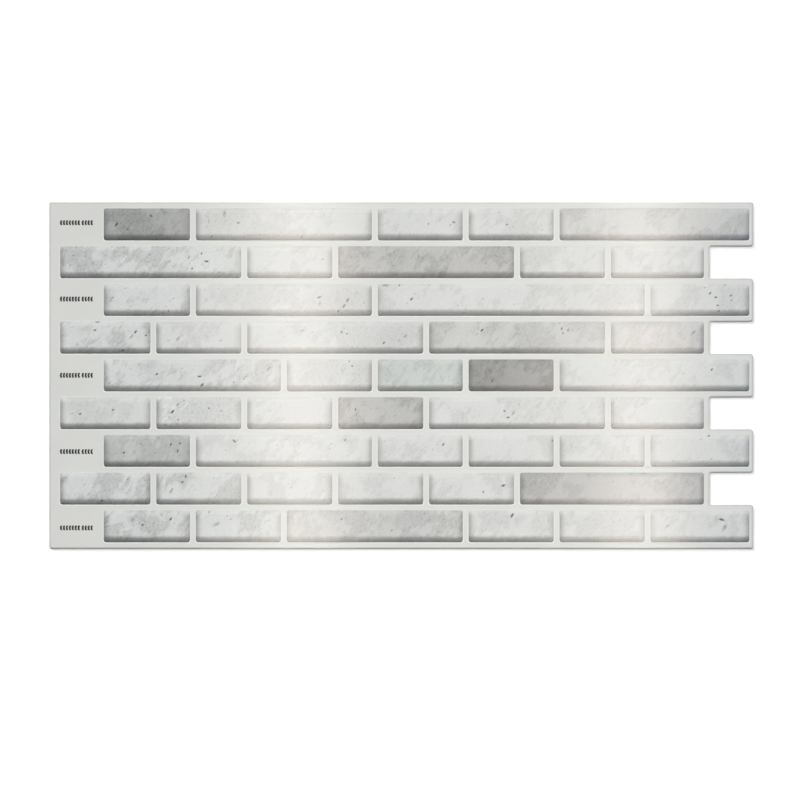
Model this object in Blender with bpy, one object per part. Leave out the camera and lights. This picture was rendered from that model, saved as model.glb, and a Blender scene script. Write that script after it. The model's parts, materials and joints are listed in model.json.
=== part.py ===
"""Peel and stick backsplash tile: one moulded sheet with nine courses of raised bricks.

The sheet lies flat, with its adhesive back on z = 0 and its face up. X runs along the
courses, from the blank overlap tabs at the left to the lap fingers at the right. Y runs
up the wall. The origin is below the middle of the sheet, on its back.
"""

import math

import bmesh
import bpy
from mathutils import Vector

NAME = "peel_and_stick_tile"
SHEET_NODE = "tile_sheet"

# The bond: one digit for each brick, the number of cells that it spans, from left to
# right and top course first. Courses take turns: one starts after a blank tab and ends
# on a finger, the next starts after a narrow strip and ends at the bottom of a notch.
COURSES = (
    "12112",
    "21211",
    "1231",
    "11221",
    "21112",
    "111121",
    "121111",
    "111112",
    "112111",
)

# Lengths along the courses, in metres.
TAB_WIDTH = 0.0473  # blank tab before a tab course, covered by the next sheet's finger
STRIP_WIDTH = 0.0095  # blank strip before a strip course
MODULE = 0.0788  # from one joint to the next
TAB_COURSE_FIRST = 0.0747  # first cell of a tab course
TAB_COURSE_LAST = 0.0856  # last cell of a tab course, which reaches out on the finger
STRIP_COURSE_FIRST = 0.0782  # first cell of a strip course
FINGER_END_MARGIN = 0.0033  # from a tab course's last brick to the finger's end

# Heights up the wall.
BRICK_HEIGHT = 0.0276
JOINT = 0.0051  # width of the sunk joint on all sides of a brick
EDGE_MARGIN = 0.0054  # from the outer courses to the sheet's top and bottom edges
LAP_CLEARANCE = 0.00025  # between a finger and the bricks of the sheet that it laps

# The sheet and the section of a brick's rim.
SHEET_THICKNESS = 0.0010
BRICK_RISE = 0.0021  # from the joints to a brick's face
TOE_HEIGHT = 0.0003  # upright foot of the rim
RIM_SLOPE = math.radians(31)
SHOULDER_RADIUS = 0.0055  # rounds the slope into the face
EDGE_EASING = 0.0005  # rounding of the sheet's upper edge

# Corner radii, seen from above.
SHEET_CORNER = 0.0015
FINGER_CORNER = 0.0025
NOTCH_CORNER = 0.0022
BRICK_CORNER = 0.0019  # at a brick's foot
FACE_CORNER = 0.0012  # at the edge of its face

# How finely the round forms are divided, and how deep the bricks root in the sheet.
CORNER_STEPS = 3
SHOULDER_STEPS = 3
EASING_STEPS = 2
ROOT_DEPTH = 0.4 * SHEET_THICKNESS
WELD = 0.00001

# Sizes that follow from the ones above.
CELLS = sum(map(int, COURSES[0]))
COURSE_PITCH = BRICK_HEIGHT + JOINT
SHEET_HEIGHT = 2 * EDGE_MARGIN + len(COURSES) * COURSE_PITCH - JOINT
INNER_CELLS = (CELLS - 2) * MODULE + JOINT
SHEET_LENGTH = (
    TAB_WIDTH + TAB_COURSE_FIRST + INNER_CELLS + TAB_COURSE_LAST + FINGER_END_MARGIN
)
LAP_MARGIN = JOINT - LAP_CLEARANCE
LEFT, RIGHT = -SHEET_LENGTH / 2, SHEET_LENGTH / 2
BOTTOM, TOP = -SHEET_HEIGHT / 2, SHEET_HEIGHT / 2
NOTCH_BOTTOM_X = RIGHT - (TAB_WIDTH - STRIP_WIDTH)


def clear_scene():
    for thing in list(bpy.data.objects):
        bpy.data.objects.remove(thing, do_unlink=True)


def new_collection(name):
    collection = bpy.data.collections.new(name)
    bpy.context.scene.collection.children.link(collection)
    return collection


def printed_vinyl():
    """The moulded sheet's own material: pale, printed, satin PVC."""
    material = bpy.data.materials.new("printed_vinyl")
    material.use_nodes = True
    shader = material.node_tree.nodes["Principled BSDF"]
    shader.inputs["Base Color"].default_value = (0.68, 0.68, 0.67, 1.0)
    shader.inputs["Roughness"].default_value = 0.38
    shader.inputs["Metallic"].default_value = 0.0
    return material


def is_tab_course(course):
    return course % 2 == 0


def course_span(course):
    """The y of a course's lower and upper edges, counted from the top course down."""
    upper = TOP - EDGE_MARGIN - course * COURSE_PITCH
    return upper - BRICK_HEIGHT, upper


def course_ends(course):
    """The x where a course starts, the length of its first cell, and the x where it ends."""
    if is_tab_course(course):
        return LEFT + TAB_WIDTH, TAB_COURSE_FIRST, RIGHT - FINGER_END_MARGIN
    return LEFT + STRIP_WIDTH, STRIP_COURSE_FIRST, NOTCH_BOTTOM_X - LAP_MARGIN


def course_bricks(course):
    """The x of both ends of each brick in a course, from the left."""
    start, first_cell, end = course_ends(course)
    joints = [start + first_cell + JOINT / 2 + k * MODULE for k in range(CELLS - 1)]
    lefts = [start] + [joint + JOINT / 2 for joint in joints]
    rights = [joint - JOINT / 2 for joint in joints] + [end]
    cell = 0
    for span in map(int, COURSES[course]):
        yield lefts[cell], rights[cell + span - 1]
        cell += span


def rounded_outline(corners):
    """A closed outline of right-angled corners (x, y, radius), each drawn as an arc."""
    points = []
    for i, (x, y, radius) in enumerate(corners):
        corner = Vector((x, y))
        back = (Vector(corners[i - 1][:2]) - corner).normalized()
        ahead = (Vector(corners[(i + 1) % len(corners)][:2]) - corner).normalized()
        centre = corner + radius * (back + ahead)
        for step in range(CORNER_STEPS + 1):
            turn = math.pi / 2 * step / CORNER_STEPS
            points.append(
                centre - radius * (math.cos(turn) * ahead + math.sin(turn) * back)
            )
    return points


def sheet_corners():
    """The sheet's corners, anticlockwise: a plain left edge, and a notch cut into the
    right edge beside each strip course, so that fingers are left beside the others."""
    corners = [(LEFT, BOTTOM, SHEET_CORNER)]
    below = SHEET_CORNER, BOTTOM
    for course in reversed(range(len(COURSES))):
        if is_tab_course(course):
            continue
        low, high = course_span(course)
        low -= LAP_CLEARANCE
        high += LAP_CLEARANCE
        radius, y = below
        corners.append((RIGHT, y, radius))
        corners.append((RIGHT, low, FINGER_CORNER))
        corners.append((NOTCH_BOTTOM_X, low, NOTCH_CORNER))
        corners.append((NOTCH_BOTTOM_X, high, NOTCH_CORNER))
        below = FINGER_CORNER, high
    radius, y = below
    corners.append((RIGHT, y, radius))
    corners.append((RIGHT, TOP, SHEET_CORNER))
    corners.append((LEFT, TOP, SHEET_CORNER))
    return corners


def sheet_blank(collection):
    """The flat sheet with its notches, cut from one outline."""
    curve = bpy.data.curves.new("sheet_outline", "CURVE")
    curve.dimensions = "2D"
    curve.fill_mode = "BOTH"
    curve.extrude = SHEET_THICKNESS / 2
    points = rounded_outline(sheet_corners())
    spline = curve.splines.new("POLY")
    spline.points.add(len(points) - 1)
    for place, (x, y) in zip(spline.points, points):
        place.co = (x, y, 0.0, 1.0)
    spline.use_cyclic_u = True
    outline = bpy.data.objects.new("sheet_outline", curve)
    outline.location.z = SHEET_THICKNESS / 2
    collection.objects.link(outline)
    bpy.context.view_layer.update()
    depsgraph = bpy.context.evaluated_depsgraph_get()
    mesh = bpy.data.meshes.new_from_object(outline.evaluated_get(depsgraph))
    sheet = bpy.data.objects.new(SHEET_NODE, mesh)
    sheet.matrix_world = outline.matrix_world
    collection.objects.link(sheet)
    bpy.data.objects.remove(outline)
    bpy.data.curves.remove(curve)
    return sheet


def ease_upper_edge(sheet):
    """Weld the caps on, make each one face, and round the edge that the hand meets."""
    mesh = bmesh.new()
    mesh.from_mesh(sheet.data)
    bmesh.ops.remove_doubles(mesh, verts=mesh.verts, dist=WELD)
    bmesh.ops.dissolve_limit(
        mesh, angle_limit=math.radians(1), verts=mesh.verts, edges=mesh.edges
    )
    top = max(mesh.faces, key=lambda face: face.calc_center_median().z)
    bmesh.ops.bevel(
        mesh,
        geom=list(top.edges),
        offset=EDGE_EASING,
        segments=EASING_STEPS,
        profile=0.5,
        affect="EDGES",
    )
    bmesh.ops.recalc_face_normals(mesh, faces=mesh.faces)
    mesh.to_mesh(sheet.data)
    mesh.free()


def rim_section():
    """The rim from foot to face, as pairs of inset and height above the joints: an
    upright toe, a straight slope and a round shoulder that is tangent to both."""
    slope_rise = BRICK_RISE - TOE_HEIGHT
    radius = min(SHOULDER_RADIUS, slope_rise / (1 - math.cos(RIM_SLOPE)))
    shoulder_drop = radius * (1 - math.cos(RIM_SLOPE))
    slope_run = (slope_rise - shoulder_drop) / math.tan(RIM_SLOPE)
    section = [(0.0, -ROOT_DEPTH), (0.0, TOE_HEIGHT)]
    for step in range(SHOULDER_STEPS + 1):
        turn = RIM_SLOPE * (1 - step / SHOULDER_STEPS)
        inset = slope_run + radius * (math.sin(RIM_SLOPE) - math.sin(turn))
        section.append((inset, BRICK_RISE - radius * (1 - math.cos(turn))))
    return section


def brick_ring(left, right, low, high, inset, share):
    """A brick's outline drawn in by the inset. Its corners tighten towards the face."""
    radius = BRICK_CORNER + share * (FACE_CORNER - BRICK_CORNER)
    left, right = left + inset, right - inset
    low, high = low + inset, high - inset
    return rounded_outline(
        [
            (left, low, radius),
            (right, low, radius),
            (right, high, radius),
            (left, high, radius),
        ]
    )


def add_brick(mesh, left, right, low, high):
    """One brick: its foot's outline is raised ring by ring along the rim's section."""
    section = rim_section()
    rim_width = section[-1][0]
    face = None
    for inset, height in section:
        ring = brick_ring(left, right, low, high, inset, inset / rim_width)
        places = [Vector((x, y, SHEET_THICKNESS + height)) for x, y in ring]
        if face is None:
            face = mesh.faces.new([mesh.verts.new(place) for place in places])
            continue
        region = [face, *face.edges, *face.verts]
        raised = bmesh.ops.extrude_face_region(mesh, geom=region)["geom"]
        face = next(part for part in raised if isinstance(part, bmesh.types.BMFace))
        for vertex, place in zip(face.verts, places):
            vertex.co = place


def raised_bricks(collection):
    """All the bricks, as the shape that is joined to the sheet."""
    mesh = bmesh.new()
    for course in range(len(COURSES)):
        low, high = course_span(course)
        for left, right in course_bricks(course):
            add_brick(mesh, left, right, low, high)
    bmesh.ops.recalc_face_normals(mesh, faces=mesh.faces)
    data = bpy.data.meshes.new("raised_bricks")
    mesh.to_mesh(data)
    mesh.free()
    bricks = bpy.data.objects.new("raised_bricks", data)
    bricks.hide_render = True
    bricks.display_type = "WIRE"
    collection.objects.link(bricks)
    return bricks


def join_bricks(sheet, bricks):
    """Sheet and bricks are one moulding."""
    union = sheet.modifiers.new("bricks", "BOOLEAN")
    union.operation = "UNION"
    union.solver = "EXACT"
    union.object = bricks


def shade(thing, material):
    """Smooth over the round stretches, with a crease at each brick's foot."""
    thing.data.materials.clear()
    thing.data.materials.append(material)
    thing.data.shade_smooth()
    thing.data.set_sharp_from_angle(angle=math.radians(25))


def build():
    clear_scene()
    parts = new_collection(NAME)
    operands = new_collection("operands")
    sheet = sheet_blank(parts)
    ease_upper_edge(sheet)
    bricks = raised_bricks(operands)
    join_bricks(sheet, bricks)
    material = printed_vinyl()
    shade(sheet, material)
    shade(bricks, material)


build()
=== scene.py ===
# %% [markdown]
# # The looks of a peel and stick backsplash tile
#
# The real object is one thin vinyl sheet. A printed film lies on its face, and a press
# has raised bricks out of it, so everything that the eye sees is either the form of the
# moulding or ink on it. This lesson rebuilds both: first the moulded surface, as numpy
# grids, and then the print, as a material that reads what the grids know about each point.

# %% Load the frame
import json
import math

import bpy
import numpy as np
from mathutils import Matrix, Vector


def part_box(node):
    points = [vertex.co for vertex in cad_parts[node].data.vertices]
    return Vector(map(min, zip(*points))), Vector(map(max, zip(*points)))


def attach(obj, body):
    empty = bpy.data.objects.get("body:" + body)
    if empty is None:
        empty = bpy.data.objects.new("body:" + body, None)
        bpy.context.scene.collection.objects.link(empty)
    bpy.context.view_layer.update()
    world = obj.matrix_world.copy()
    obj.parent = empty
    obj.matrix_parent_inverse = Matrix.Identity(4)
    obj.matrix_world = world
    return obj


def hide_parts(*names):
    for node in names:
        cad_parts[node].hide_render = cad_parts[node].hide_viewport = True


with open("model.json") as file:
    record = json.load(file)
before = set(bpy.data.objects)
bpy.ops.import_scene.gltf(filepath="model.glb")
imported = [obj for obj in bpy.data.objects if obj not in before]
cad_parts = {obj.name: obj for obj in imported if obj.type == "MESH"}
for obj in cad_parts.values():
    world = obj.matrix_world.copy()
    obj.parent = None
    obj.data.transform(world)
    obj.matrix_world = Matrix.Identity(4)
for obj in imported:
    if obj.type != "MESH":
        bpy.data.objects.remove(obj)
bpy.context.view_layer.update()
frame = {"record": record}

# %% [markdown]
# ## The bond of bricks
#
# The bricks stand in nine courses. Courses take turns: one starts after a blank tab and
# ends on a finger, the next starts after a narrow strip and ends at a notch. The sizes
# below are those that the solid was built with, and what can be read from the packed
# model, such as the level of the joints, is read from it. A brick is written as the number
# of cells that it spans and a letter for its print.

# %% Sizes and the list of bricks
SHEET_NODE = "tile_sheet"
TAB_WIDTH = 0.0473
STRIP_WIDTH = 0.0095
MODULE = 0.0788
TAB_COURSE_FIRST = 0.0747
STRIP_COURSE_FIRST = 0.0782
FINGER_END_MARGIN = 0.0033
BRICK_HEIGHT = 0.0276
JOINT = 0.0051
LAP_CLEARANCE = 0.00025
EDGE_EASING = 0.0005
SHEET_CORNER = 0.0015
FINGER_CORNER = 0.0025
NOTCH_CORNER = 0.0022
BRICK_CORNER = 0.0019
FACE_CORNER = 0.0012

# Each course from the top: cells spanned and print of each brick, from the left.
COURSES = (
    "1D 2L 1L 1L 2P",
    "2C 1L 2M 1L 1L",
    "1S 2L 3L 1L",
    "1S 1L 2L 2P 1W",
    "2S 1L 1T 1E 2L",
    "1L 1V 1L 1M 2L 1L",
    "1N 2L 1L 1L 1L 1L",
    "1S 1S 1L 1L 1L 2G",
    "1S 1S 2P 1L 1L 1L",
)

low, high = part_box(SHEET_NODE)
LEFT, BOTTOM = low.x, low.y
RIGHT, TOP = high.x, high.y
tab_mounts = [m for m in frame["record"]["mounts"] if m["name"].startswith("overlap_tab")]
GROUND = tab_mounts[0]["pos_m"][2]
RISE = high.z - GROUND
PITCH = BRICK_HEIGHT + JOINT
EDGE_MARGIN = (TOP - BOTTOM - len(COURSES) * PITCH + JOINT) / 2
NOTCH_BOTTOM_X = RIGHT - (TAB_WIDTH - STRIP_WIDTH)


def course_span(course):
    """The y of a course's lower and upper edges, counted from the top course down."""
    upper = TOP - EDGE_MARGIN - course * PITCH
    return upper - BRICK_HEIGHT, upper


def course_bricks(course):
    """Both ends in x and the print's letter of each brick of a course."""
    if course % 2 == 0:
        start, first_cell = LEFT + TAB_WIDTH, TAB_COURSE_FIRST
        end = RIGHT - FINGER_END_MARGIN
    else:
        start, first_cell = LEFT + STRIP_WIDTH, STRIP_COURSE_FIRST
        end = NOTCH_BOTTOM_X - JOINT + LAP_CLEARANCE
    bricks = COURSES[course].split()
    cells = sum(int(brick[0]) for brick in bricks)
    joints = start + first_cell + JOINT / 2 + MODULE * np.arange(cells - 1)
    lefts = [start, *(joints + JOINT / 2)]
    rights = [*(joints - JOINT / 2), end]
    cell = 0
    for brick in bricks:
        last = cell + int(brick[0]) - 1
        yield lefts[cell], rights[last], brick[1]
        cell = last + 1


print("joints at z =", round(GROUND, 5), "bricks rise", round(RISE, 5))
print("bricks:", sum(len(list(course_bricks(c))) for c in range(len(COURSES))))

# %% [markdown]
# ## Helpers for grids
#
# A moulded surface can be subdivided and sculpted, or worked out point by point. Here
# every point follows a rule, so whole arrays are computed at once and handed to the mesh
# in one call. Smooth noise comes from random heights on a square lattice, eased between
# the lattice points, which gives soft dents and clouds of a chosen size.


# %% Arrays to meshes, and smooth noise
def mesh_piece(name, points, quads, fans, material, attributes=None, smooth=True):
    """One object from points, four-sided faces and closing faces with many corners. An
    attribute is one number, a vector or a colour for each point."""
    mesh = bpy.data.meshes.new(name)
    mesh.from_pydata(points, [], [*quads.tolist(), *[list(map(int, fan)) for fan in fans]])
    kinds = {1: ("FLOAT", "value"), 3: ("FLOAT_VECTOR", "vector"), 4: ("FLOAT_COLOR", "color")}
    for label, values in (attributes or {}).items():
        kind, field = kinds[1 if values.ndim == 1 else values.shape[1]]
        layer = mesh.attributes.new(label, kind, "POINT")
        layer.data.foreach_set(field, np.ascontiguousarray(values, np.float32).ravel())
    if smooth:
        mesh.shade_smooth()
    mesh.materials.append(material)
    piece = bpy.data.objects.new(name, mesh)
    bpy.context.scene.collection.objects.link(piece)
    return piece


def ease(x, start, end):
    """0 before start, 1 after end, and 3t^2 - 2t^3 between them."""
    t = np.clip((x - start) / (end - start), 0, 1)
    return t * t * (3 - 2 * t)


LATTICE_REACH = 0.6  # how far the lattice spans from the origin


def smooth_noise(x, y, cell, seed):
    """Random heights from -1 to 1 on a lattice of the given cell, eased between its
    points along x and along y."""
    columns = int(2 * LATTICE_REACH / cell) + 3
    lattice = np.random.default_rng(seed).uniform(-1, 1, (columns, columns))
    across, up = (x + LATTICE_REACH) / cell, (y + LATTICE_REACH) / cell
    i, j = np.floor(across).astype(int), np.floor(up).astype(int)
    s, t = ease(across - i, 0, 1), ease(up - j, 0, 1)
    lower = lattice[i, j] * (1 - s) + lattice[i + 1, j] * s
    upper = lattice[i, j + 1] * (1 - s) + lattice[i + 1, j + 1] * s
    return lower * (1 - t) + upper * t


def round_corners(x, y, half_x, half_y, radius):
    """Draws the square corners of a rectangle onto arcs. Within a corner's square, with
    s and t running from 0 to 1 towards the corner, x moves to s * sqrt(1 - t^2 / 2) and
    y to t * sqrt(1 - s^2 / 2), which lays the outer edges on a quarter circle."""
    core_x, core_y = half_x - radius, half_y - radius
    s = np.clip((np.abs(x) - core_x) / radius, 0, 1)
    t = np.clip((np.abs(y) - core_y) / radius, 0, 1)
    in_corner = (s > 0) & (t > 0)
    round_x = np.sign(x) * (core_x + radius * s * np.sqrt(1 - t * t / 2))
    round_y = np.sign(y) * (core_y + radius * t * np.sqrt(1 - s * s / 2))
    return np.where(in_corner, round_x, x), np.where(in_corner, round_y, y)


# %% [markdown]
# ## Node helpers
#
# A material is a network, and written out call by call it hides what it does. These
# helpers make a node and set or link its inputs in one line, so that a material reads
# like a formula.


# %% Build nodes in one line each
def put(tree, sockets, inputs):
    """Links each input that gets a node's output, and writes any other value on it."""
    for name, value in inputs.items():
        if isinstance(value, bpy.types.NodeSocket):
            tree.links.new(value, sockets[name])
        else:
            sockets[name].default_value = value


def add(tree, kind, inputs=None, **settings):
    """A node of the kind, with its settings, and each input linked or set."""
    made = tree.nodes.new(kind)
    for name, value in settings.items():
        setattr(made, name, value)
    put(tree, made.inputs, inputs or {})
    return made


def calc(tree, operation, a, b=0.0, c=0.0, clamp=False):
    """A math node's result."""
    made = add(tree, "ShaderNodeMath", operation=operation, use_clamp=clamp)
    put(tree, made.inputs, {0: a, 1: b, 2: c})
    return made.outputs[0]


def blend(tree, share, a, b, mode="MIX"):
    """Two colours mixed by a share."""
    made = add(tree, "ShaderNodeMix", data_type="RGBA", blend_type=mode)
    put(tree, made.inputs, {0: share, 6: a, 7: b})
    return made.outputs[2]


def span(tree, value, from_low, from_high, to_low=0.0, to_high=1.0):
    """A value mapped from one range to another with an eased, limited ramp."""
    made = add(tree, "ShaderNodeMapRange", interpolation_type="SMOOTHSTEP")
    put(tree, made.inputs, dict(enumerate((value, from_low, from_high, to_low, to_high))))
    return made.outputs["Result"]


def noise(tree, place, scale, detail=2.0, roughness=0.5):
    """A noise texture's value, around 0.5."""
    sockets = {"Vector": place, "Scale": scale, "Detail": detail, "Roughness": roughness}
    return add(tree, "ShaderNodeTexNoise", sockets).outputs["Fac"]


def use_group(tree, group, inputs):
    """The outputs of a node that stands for a group."""
    made = tree.nodes.new("ShaderNodeGroup")
    made.node_tree = group
    put(tree, made.inputs, inputs)
    return made.outputs


def new_material(name):
    """A material with only a Principled shader: itself, its tree and the shader."""
    material = bpy.data.materials.new(name)
    material.use_nodes = True
    return material, material.node_tree, material.node_tree.nodes["Principled BSDF"]


def new_group(name, inputs, outputs):
    """A node group with named sockets, and its input and output nodes."""
    tree = bpy.data.node_groups.new(name, "ShaderNodeTree")
    for label, kind in inputs:
        tree.interface.new_socket(label, in_out="INPUT", socket_type=kind)
    for label in outputs:
        tree.interface.new_socket(label, in_out="OUTPUT", socket_type="NodeSocketFloat")
    given, result = tree.nodes.new("NodeGroupInput"), tree.nodes.new("NodeGroupOutput")
    return tree, given.outputs, result.inputs


# %% [markdown]
# ## The skin of pressed vinyl
#
# Under a raking light the whole face shows a fine skin, like leather or orange peel: the
# press leaves it on bricks and joints alike, and it breaks the shine up. One group makes
# it for every material of the sheet, from two sizes of noise. It gives a height for a
# bump and a small change in roughness.

# %% Group: pressed skin
SKIN_CELL = 0.8  # millimetres

skin, given, result = new_group(
    "pressed_skin",
    [("Vector", "NodeSocketVector"), ("Cell mm", "NodeSocketFloat")],
    ["Height", "Roughness"],
)
per_metre = calc(skin, "DIVIDE", 1000.0, given["Cell mm"])
pores = noise(skin, given["Vector"], per_metre, 2.0, 0.55)
waves = noise(skin, given["Vector"], calc(skin, "MULTIPLY", per_metre, 0.17), 1.0)
height = calc(skin, "MULTIPLY_ADD", waves, 0.6, pores)
change = calc(skin, "MULTIPLY_ADD", waves, 0.22, -0.11)
put(skin, result, {"Height": height, "Roughness": change})
print("group skin:", len(skin.nodes), "nodes")

# %% [markdown]
# ## The sheen of the print
#
# The clear coat over the ink is soft and scatters its shine in every direction, so a lamp
# close above the sheet veils it, slopes and flats alike. The more ink lies under the coat,
# the stronger the veil is: pale ground hardly changes, and dark print turns milky. A group
# turns the printed colour into the coat's weight, a share of 1.38 - 1.5 * green, for both
# materials. The share is small and the coat's index high. Seen from above this veils the
# print as much as a full coat of plain varnish would, and at a low angle it shines less.

# %% Group: print sheen
SHEEN_ROUGHNESS = 1.0
SHEEN_INDEX = 3.0
SHEEN_SHARE = 0.136
BARE_SHEEN, INK_FALL = 1.38, -1.5

sheen, given, result = new_group("print_sheen", [("Color", "NodeSocketColor")], ["Weight"])
green = add(sheen, "ShaderNodeSeparateColor", {"Color": given["Color"]}).outputs["Green"]
veil = calc(sheen, "MULTIPLY_ADD", green, INK_FALL, BARE_SHEEN, clamp=True)
put(sheen, result, {"Weight": calc(sheen, "MULTIPLY", veil, SHEEN_SHARE)})
print("group sheen:", len(sheen.nodes), "nodes")


def coat_vinyl(tree, shader, colour, roughness, coat, bump):
    """Sets a shader up as printed vinyl: all its shine comes from the soft clear coat."""
    inputs = {"Base Color": colour, "Roughness": roughness, "Specular IOR Level": 0.0}
    inputs |= {"Coat Weight": coat, "Coat Roughness": SHEEN_ROUGHNESS, "Coat IOR": SHEEN_INDEX}
    inputs["Normal"] = add(tree, "ShaderNodeBump", bump).outputs["Normal"]
    put(tree, shader.inputs, inputs)


# %% [markdown]
# ## The ground of the sheet
#
# Tabs, strip, joints and fingers are one flat ground of pale vinyl, printed with a plain
# warm grey. It is almost even: only a faint cloud and a fine speck break it. Along the
# cut edge, where it rounds over, painted shade makes it a little darker.

# %% Material: ground
GROUND_ROUGHNESS = 0.32
GROUND_DULL, GROUND_PALE = (0.632, 0.642, 0.618, 1.0), (0.652, 0.660, 0.634, 1.0)
SPECK = (0.46, 0.46, 0.44, 1.0)
# Painted shade along the sheet's rounded edge.
EDGE_SHADE = (0.44, 0.44, 0.43, 1.0)

ground_vinyl, tree, shader = new_material("ground_vinyl")
place = add(tree, "ShaderNodeTexCoord").outputs["Object"]
surface = use_group(tree, skin, {"Vector": place, "Cell mm": SKIN_CELL})
edge = add(tree, "ShaderNodeAttribute", attribute_name="edge").outputs["Fac"]
cloud_share = span(tree, noise(tree, place, 28.0, 4.0, 0.55), 0.3, 0.7)
speck_share = span(tree, noise(tree, place, 900.0, 2.0, 0.6), 0.35, 0.75, 0.0, 0.10)
tint = blend(tree, cloud_share, GROUND_DULL, GROUND_PALE)
dusted = blend(tree, speck_share, tint, SPECK)
# Painted shade on the rounded edge.
edge_shaded = blend(tree, edge, dusted, EDGE_SHADE)
rough = calc(tree, "ADD", surface["Roughness"], GROUND_ROUGHNESS)
coat = use_group(tree, sheen, {"Color": edge_shaded})["Weight"]
bump = {"Height": surface["Height"], "Strength": 0.35, "Distance": 0.00004}
coat_vinyl(tree, shader, edge_shaded, rough, coat, bump)
print("ground:", len(tree.nodes), "nodes")

# %% [markdown]
# ## The back
#
# The back carries adhesive under a peel-off liner. It isn't seen in use, so it is plain:
# matt, calendered paper with a faint fibre and no print.

# %% Material: release paper
PAPER, PAPER_FIBRE = (0.80, 0.795, 0.76, 1.0), (0.71, 0.70, 0.65, 1.0)
PAPER_FLUSH = (0.83, 0.83, 0.80, 1.0)

release_paper, tree, shader = new_material("release_paper")
place = add(tree, "ShaderNodeTexCoord").outputs["Object"]
along_fibre = {"Vector": place, "Scale": (1.0, 3.5, 1.0)}
lengthwise = add(tree, "ShaderNodeMapping", along_fibre).outputs[0]
fibre = noise(tree, lengthwise, 260.0, 6.0, 0.65)
flush_share = span(tree, noise(tree, place, 9.0, 3.0), 0.3, 0.7, 0.0, 0.3)
paper = blend(tree, span(tree, fibre, 0.35, 0.7, 0.0, 0.55), PAPER, PAPER_FIBRE)
paper = blend(tree, flush_share, paper, PAPER_FLUSH)
rough = span(tree, fibre, 0.3, 0.7, 0.52, 0.68)
bump = {"Height": fibre, "Strength": 0.3, "Distance": 0.00006}
normal = add(tree, "ShaderNodeBump", bump).outputs["Normal"]
put(tree, shader.inputs, {"Base Color": paper, "Roughness": rough, "Normal": normal})
print("paper:", len(tree.nodes), "nodes")

# %% [markdown]
# ## The blank of the sheet
#
# The blank is a flat plate with a toothed right edge. Its outline is a list of corners,
# each drawn as an arc, and the wall is a short section carried along that outline: up
# from the back and round the eased upper edge. Two flat faces close it, and the one
# underneath wears the paper.


# %% Piece: sheet blank
# Painted shade covers this ring along the edge.
EDGE_SHADE_WIDTH = 3 * EDGE_EASING  # the ring of film along the edge that is a little darker


def outline_corners():
    """The sheet's corners as rows of x, y and radius, anticlockwise."""
    corners = [(LEFT, BOTTOM, SHEET_CORNER), (RIGHT, BOTTOM, SHEET_CORNER)]
    for course in reversed(range(1, len(COURSES), 2)):
        lower, upper = course_span(course)
        lower, upper = lower - LAP_CLEARANCE, upper + LAP_CLEARANCE
        corners += [
            (RIGHT, lower, FINGER_CORNER),
            (NOTCH_BOTTOM_X, lower, NOTCH_CORNER),
            (NOTCH_BOTTOM_X, upper, NOTCH_CORNER),
            (RIGHT, upper, FINGER_CORNER),
        ]
    return np.array([*corners, (RIGHT, TOP, SHEET_CORNER), (LEFT, TOP, SHEET_CORNER)])


def outline_path(inset, steps=7):
    """The outline drawn in by an inset. A corner's arc has its centre one radius along
    both sides from the corner, and runs from one side to the other. The inset moves each
    point along the arc's own radius: a convex arc shrinks by it and a hollow one grows."""
    corners = outline_corners()
    here, radius = corners[:, :2], corners[:, 2:]
    back = np.roll(here, 1, axis=0) - here
    ahead = np.roll(here, -1, axis=0) - here
    back /= np.linalg.norm(back, axis=1, keepdims=True)
    ahead /= np.linalg.norm(ahead, axis=1, keepdims=True)
    convex = np.sign(ahead[:, :1] * back[:, 1:] - ahead[:, 1:] * back[:, :1])
    centre = here + radius * (back + ahead)
    turn = np.linspace(0, math.pi / 2, steps)[None, :, None]
    spoke = -(np.cos(turn) * ahead[:, None] + np.sin(turn) * back[:, None])
    reach = (radius - convex * inset)[:, None]
    return (centre[:, None] + reach * spoke).reshape(-1, 2)


def sheet_blank():
    """The section, as pairs of inset and height, carried along the outline: up the wall,
    round a quarter circle and a little way in on the flat ground."""
    turns = np.linspace(0, math.pi / 2, 6)
    section = [(0.0, 0.0), (0.0, 0.5 * (GROUND - EDGE_EASING))]
    section += [
        (EDGE_EASING * (1 - math.cos(t)), GROUND - EDGE_EASING * (1 - math.sin(t))) for t in turns
    ]
    section.append((EDGE_SHADE_WIDTH, GROUND))
    rings = []
    for inset, height in section:
        path = outline_path(inset)
        rings.append(np.c_[path, np.full(len(path), height)])
    count = len(rings[0])
    i = np.arange(count)
    j = (i + 1) % count
    quads = [np.c_[i, j, j + count, i + count] + k * count for k in range(len(rings) - 1)]
    top = i + (len(rings) - 1) * count
    # Painted shade along the edge, fading out on the flat.
    edge_shade_mask = np.repeat([1.0 - ease(inset, 0, EDGE_SHADE_WIDTH) for inset, height in section], count)
    points, quads, fans = np.concatenate(rings), np.concatenate(quads), [top, i[::-1]]
    blank = mesh_piece("sheet_blank", points, quads, fans, ground_vinyl, {"edge": edge_shade_mask})
    blank.data.materials.append(release_paper)
    top_face, back_face = blank.data.polygons[-2:]
    top_face.use_smooth = back_face.use_smooth = False
    back_face.material_index = 1
    return blank


blank = sheet_blank()
print("blank:", len(blank.data.vertices), "points")

# %% [markdown]
# ## The stone print
#
# The film is printed with a honed, slightly porous marble, whose clouds and streaks all
# slant the same way. Each brick is a cut from another place of the stone. What the grids
# know about a point comes in as named attributes: the stone's own colour, how strongly it
# is clouded, how dark the painted shade makes the print towards the brick's edges and
# along its upper rim, the placed pits and stains, and a shift that moves every brick to its
# own place in the endless pattern. Over that the material lays, from coarse to fine:
# clouds, streaks, a mottle, grain, pores and pale hairs.

# %% Group: stone clouds
STREAK_SLANT = math.radians(52)
SWAY = 0.010  # how far a noise pushes the clouds about

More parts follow.
